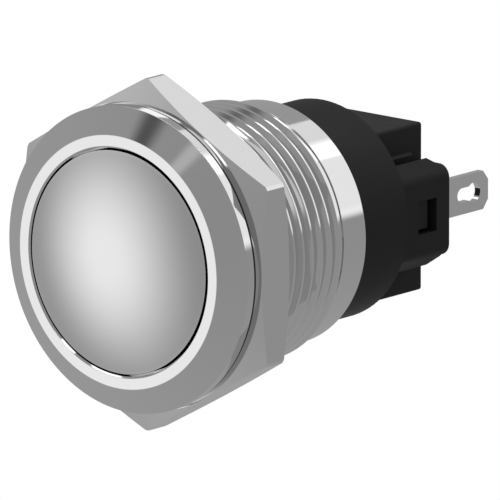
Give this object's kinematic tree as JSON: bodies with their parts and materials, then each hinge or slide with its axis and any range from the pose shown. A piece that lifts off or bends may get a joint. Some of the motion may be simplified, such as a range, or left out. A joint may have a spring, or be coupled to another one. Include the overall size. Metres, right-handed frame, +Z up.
{
  "type": "metal push-button switch",
  "caption": "Round steel push-button switch for a panel, with a domed button in a conical bezel, a threaded barrel, a hexagon nut, and a black contact block with solder terminals.",
  "frame": {"origin": "on the switch's axis, in the rear face of the bezel, where it seats on the panel", "axes": "+Y along the axis, from the button to the terminals; +X across the two terminals, towards the contact terminal; +Z up, across the width of a terminal"},
  "size_m": [0.0222, 0.0362, 0.0254],
  "materials": {
    "bezel_barrel": "polished",
    "button_cap": "polished",
    "nut": "polished",
    "gasket": "matt",
    "washer": "polished",
    "seal_rubber": "matt",
    "contact_housing": "satin",
    "terminal_base": "satin",
    "inner_plastic": "matt",
    "spring_steel": "bright",
    "terminals": "tin plated",
    "contact_blade": "bright",
    "contacts": "silver plated"
  },
  "bodies": {
    "housing": {"bezel_barrel": "bezel_barrel", "panel_gasket": "gasket", "panel_washer": "washer", "hex_nut": "nut", "return_spring": "spring_steel", "blade_spring": "spring_steel", "contact_housing": "contact_housing", "housing_seal": "seal_rubber", "terminal_base": "terminal_base", "common_terminal": "terminals", "contact_terminal": "terminals", "fixed_contact": "contacts", "blade_pivot": "spring_steel"},
    "button": {"button_cap": "button_cap", "stem_seal": "seal_rubber", "retaining_ring": "spring_steel", "plunger": "inner_plastic", "overtravel_spring": "spring_steel"},
    "pusher": {"contact_pusher": "inner_plastic"},
    "blade": {"contact_blade": "contact_blade", "moving_contact": "contacts"}
  },
  "joints": [
    {"name": "button_press", "type": "slide", "parent": "housing", "child": "button", "axis": [0, 1, 0], "range_m": [0, 0.0016], "stiffness_N_per_m": 1000, "springref_m": -0.002, "deforming": ["return_spring", "overtravel_spring"]},
    {"name": "pusher_slide", "type": "slide", "parent": "housing", "child": "pusher", "axis": [0, 1, 0], "range_m": [0, 0.00076]},
    {"name": "blade_rock", "type": "hinge", "parent": "housing", "child": "blade", "pos_m": [-0.003, 0.0165, 0], "axis": [0, 0, 1], "range_deg": [0, 14.6], "deforming": ["blade_spring"]}
  ],
  "couplings": [
    {"joint": "pusher_slide", "follows": "button_press", "ratio": 0.46875},
    {"joint": "blade_rock", "follows": "button_press", "rad_per_m": 157.93}
  ]
}
